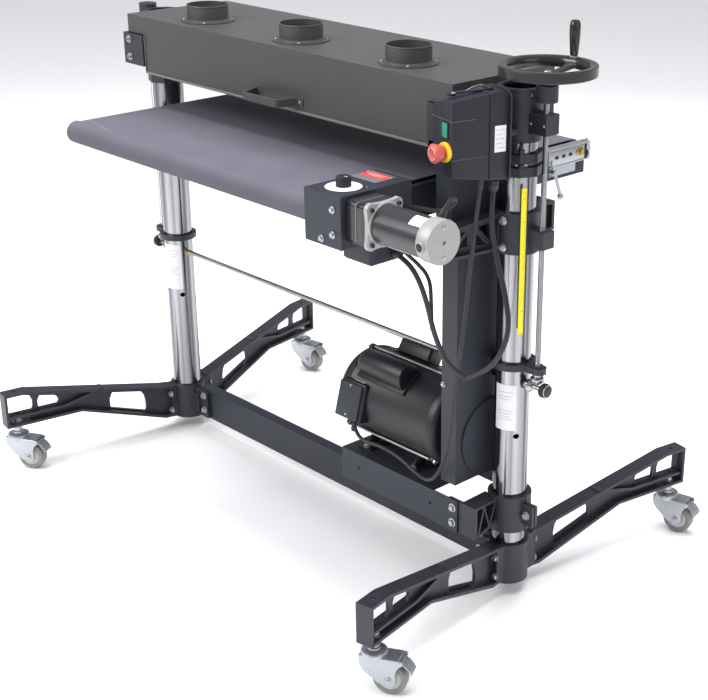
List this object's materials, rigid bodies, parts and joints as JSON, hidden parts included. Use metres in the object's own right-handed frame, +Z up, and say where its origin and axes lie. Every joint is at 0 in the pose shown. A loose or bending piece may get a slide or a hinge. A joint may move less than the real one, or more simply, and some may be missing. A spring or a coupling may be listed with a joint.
{
  "type": "drum sander",
  "caption": "Wide open-legged drum sander on two round columns with a screw-lifted conveyor table, dust hood and swivel casters.",
  "frame": {"origin": "on the floor, at the middle of the overall footprint; the midpoint of the two columns is 27.6 mm towards +X", "axes": "+X along the drums towards the handwheel, +Y from infeed to outfeed, +Z up"},
  "size_m": [1.5672, 1.0762, 1.322],
  "materials": {
    "cast_black": "black painted casting",
    "frame_paint": "dark grey powder coat, fine texture",
    "motor_paint": "satin black",
    "chrome": "ground and polished",
    "steel": "bright turned steel",
    "bronze": "turned bronze",
    "abrasive": "fine grey abrasive cloth",
    "rubber_black": "matt",
    "wheel_iron": "gloss black",
    "plastic_black": "fine spark texture",
    "plastic_red": "satin red",
    "plastic_green": "satin green",
    "gear_paint": "black enamel",
    "bed_steel": "black paint",
    "zinc": "bright zinc plate",
    "wheel_grey": "grey polyurethane"
  },
  "bodies": {
    "frame": {"base_socket_left": "cast_black", "base_socket_right": "cast_black", "belt_guard": "frame_paint", "column_left": "chrome", "column_right": "chrome", "control_box": "plastic_black", "crossbeam": "frame_paint", "drive_belt": "rubber_black", "frame_bolts": "zinc", "head_bracket_left": "cast_black", "head_bracket_right": "cast_black", "head_frame": "frame_paint", "leg_back_left": "cast_black", "leg_back_right": "cast_black", "leg_front_left": "cast_black", "leg_front_right": "cast_black", "levelling_collars": "cast_black", "motor_body": "motor_paint", "motor_clamp": "cast_black", "motor_covers": "motor_paint", "motor_plate": "frame_paint", "screw_brackets": "cast_black", "shaft_bushings": "bronze"},
    "hood": {"hood_shell": "frame_paint", "hood_fittings": "frame_paint"},
    "right_screw": {"lead_screw_right": "steel", "handwheel": "wheel_iron"},
    "grip": {"handwheel_grip": "plastic_black"},
    "left_screw": {"lead_screw_left": "steel"},
    "lift_shaft": {"cross_shaft": "steel"},
    "table": {"table_bed": "bed_steel", "conveyor_belt": "abrasive", "table_bracket_left": "cast_black", "table_bracket_right": "cast_black", "drive_box": "frame_paint", "gearmotor": "gear_paint", "takeup_channels": "zinc"},
    "drive_roll": {"drive_roller": "steel"},
    "idler_roll": {"idler_roller": "steel"},
    "dial": {"speed_dial": "plastic_black"},
    "lever": {"tracking_lever": "steel"},
    "stop": {"stop_button": "plastic_red"},
    "start": {"start_button": "plastic_green"},
    "rotor": {"motor_rotor": "steel"},
    "drum_a": {"drum_front": "abrasive"},
    "drum_b": {"drum_rear": "abrasive"},
    "press_a": {"pressure_roller_infeed": "steel"},
    "press_b": {"pressure_roller_outfeed": "steel"},
    "caster_front_left": {"caster_fork_front_left": "zinc"},
    "wheel_front_left": {"caster_wheel_front_left": "wheel_grey"},
    "pedal_front_left": {"brake_pedal_front_left": "zinc"},
    "caster_back_left": {"caster_fork_back_left": "zinc"},
    "wheel_back_left": {"caster_wheel_back_left": "wheel_grey"},
    "pedal_back_left": {"brake_pedal_back_left": "zinc"},
    "caster_front_right": {"caster_fork_front_right": "zinc"},
    "wheel_front_right": {"caster_wheel_front_right": "wheel_grey"},
    "pedal_front_right": {"brake_pedal_front_right": "zinc"},
    "caster_back_right": {"caster_fork_back_right": "zinc"},
    "wheel_back_right": {"caster_wheel_back_right": "wheel_grey"},
    "pedal_back_right": {"brake_pedal_back_right": "zinc"}
  },
  "joints": [
    {"name": "hood_open", "type": "hinge", "parent": "frame", "child": "hood", "pos_m": [-0.0276, 0.171, 1.062], "axis": [-1, 0, 0], "range_deg": [0, 75]},
    {"name": "handwheel_turn", "type": "hinge", "parent": "frame", "child": "right_screw", "pos_m": [0.6804, 0, 1], "axis": [0, 0, 1], "range_deg": [-5041, 6481]},
    {"name": "table_lift", "type": "slide", "parent": "frame", "child": "table", "axis": [0, 0, 1], "range_m": [-0.09, 0.07]},
    {"name": "left_screw_turn", "type": "hinge", "parent": "frame", "child": "left_screw", "pos_m": [-0.7356, 0, 1], "axis": [0, 0, 1], "range_deg": [-6481, 5041]},
    {"name": "lift_shaft_turn", "type": "hinge", "parent": "frame", "child": "lift_shaft", "pos_m": [-0.0276, 0, 0.534], "axis": [1, 0, 0], "range_deg": [-5041, 6481]},
    {"name": "grip_spin", "type": "hinge", "parent": "right_screw", "child": "grip", "pos_m": [0.67089, 0.0905, 1.28], "axis": [0, 0, 1], "continuous": true},
    {"name": "motor_spin", "type": "hinge", "parent": "frame", "child": "rotor", "pos_m": [0.5324, -0.015, 0.379], "axis": [1, 0, 0], "continuous": true},
    {"name": "front_drum_spin", "type": "hinge", "parent": "frame", "child": "drum_a", "pos_m": [0.5324, -0.05, 1.116], "axis": [1, 0, 0], "continuous": true},
    {"name": "rear_drum_spin", "type": "hinge", "parent": "frame", "child": "drum_b", "pos_m": [0.5324, 0.07, 1.116], "axis": [1, 0, 0], "continuous": true},
    {"name": "infeed_roller_spin", "type": "hinge", "parent": "frame", "child": "press_a", "pos_m": [-0.0276, -0.124, 1.0735], "axis": [1, 0, 0], "continuous": true},
    {"name": "outfeed_roller_spin", "type": "hinge", "parent": "frame", "child": "press_b", "pos_m": [-0.0276, 0.144, 1.0735], "axis": [1, 0, 0], "continuous": true},
    {"name": "drive_roller_spin", "type": "hinge", "parent": "table", "child": "drive_roll", "pos_m": [-0.0276, -0.38, 0.958], "axis": [1, 0, 0], "continuous": true},
    {"name": "idler_roller_spin", "type": "hinge", "parent": "table", "child": "idler_roll", "pos_m": [-0.0276, 0.37, 0.958], "axis": [1, 0, 0], "continuous": true},
    {"name": "dial_turn", "type": "hinge", "parent": "table", "child": "dial", "pos_m": [0.4524, -0.352, 1.02], "axis": [0, 0, 1], "range_deg": [-270, 0]},
    {"name": "tracking_lever_turn", "type": "hinge", "parent": "table", "child": "lever", "pos_m": [0.4924, 0.249, 0.936], "axis": [1, 0, 0], "range_deg": [-20, 55]},
    {"name": "stop_push", "type": "slide", "parent": "frame", "child": "stop", "axis": [0.2419, 0.9703, 0], "range_m": [0, 0.004]},
    {"name": "start_push", "type": "slide", "parent": "frame", "child": "start", "axis": [0.2419, 0.9703, 0], "range_m": [0, 0.002]},
    {"name": "swivel_front_left", "type": "hinge", "parent": "frame", "child": "caster_front_left", "pos_m": [-0.7492, -0.501, 0.1], "axis": [0, 0, 1], "continuous": true},
    {"name": "roll_front_left", "type": "hinge", "parent": "caster_front_left", "child": "wheel_front_left", "pos_m": [-0.71802, -0.483, 0.038], "axis": [-0.5, 0.866, 0], "continuous": true},
    {"name": "brake_front_left", "type": "hinge", "parent": "caster_front_left", "child": "pedal_front_left", "pos_m": [-0.70503, -0.4755, 0.078], "axis": [-0.5, 0.866, 0], "range_deg": [0, 12]},
    {"name": "swivel_back_left", "type": "hinge", "parent": "frame", "child": "caster_back_left", "pos_m": [-0.7492, 0.501, 0.1], "axis": [0, 0, 1], "continuous": true},
    {"name": "roll_back_left", "type": "hinge", "parent": "caster_back_left", "child": "wheel_back_left", "pos_m": [-0.71399, 0.50848, 0.038], "axis": [-0.2079, 0.9781, 0], "continuous": true},
    {"name": "brake_back_left", "type": "hinge", "parent": "caster_back_left", "child": "pedal_back_left", "pos_m": [-0.69931, 0.5116, 0.078], "axis": [-0.2079, 0.9781, 0], "range_deg": [0, 12]},
    {"name": "swivel_front_right", "type": "hinge", "parent": "frame", "child": "caster_front_right", "pos_m": [0.694, -0.501, 0.1], "axis": [0, 0, 1], "continuous": true},
    {"name": "roll_front_right", "type": "hinge", "parent": "caster_front_right", "child": "wheel_front_right", "pos_m": [0.72518, -0.483, 0.038], "axis": [-0.5, 0.866, 0], "continuous": true},
    {"name": "brake_front_right", "type": "hinge", "parent": "caster_front_right", "child": "pedal_front_right", "pos_m": [0.73817, -0.4755, 0.078], "axis": [-0.5, 0.866, 0], "range_deg": [0, 12]},
    {"name": "swivel_back_right", "type": "hinge", "parent": "frame", "child": "caster_back_right", "pos_m": [0.694, 0.501, 0.1], "axis": [0, 0, 1], "continuous": true},
    {"name": "roll_back_right", "type": "hinge", "parent": "caster_back_right", "child": "wheel_back_right", "pos_m": [0.72921, 0.50848, 0.038], "axis": [-0.2079, 0.9781, 0], "continuous": true},
    {"name": "brake_back_right", "type": "hinge", "parent": "caster_back_right", "child": "pedal_back_right", "pos_m": [0.74389, 0.5116, 0.078], "axis": [-0.2079, 0.9781, 0], "range_deg": [0, 12]}
  ],
  "couplings": [
    {"joint": "handwheel_turn", "follows": "table_lift", "rad_per_m": -1256.6},
    {"joint": "lift_shaft_turn", "follows": "table_lift", "rad_per_m": -1256.6},
    {"joint": "left_screw_turn", "follows": "table_lift", "rad_per_m": 1256.6},
    {"joint": "front_drum_spin", "follows": "motor_spin", "ratio": 1.125},
    {"joint": "rear_drum_spin", "follows": "motor_spin", "ratio": 1.125},
    {"joint": "idler_roller_spin", "follows": "drive_roller_spin", "ratio": 1}
  ]
}
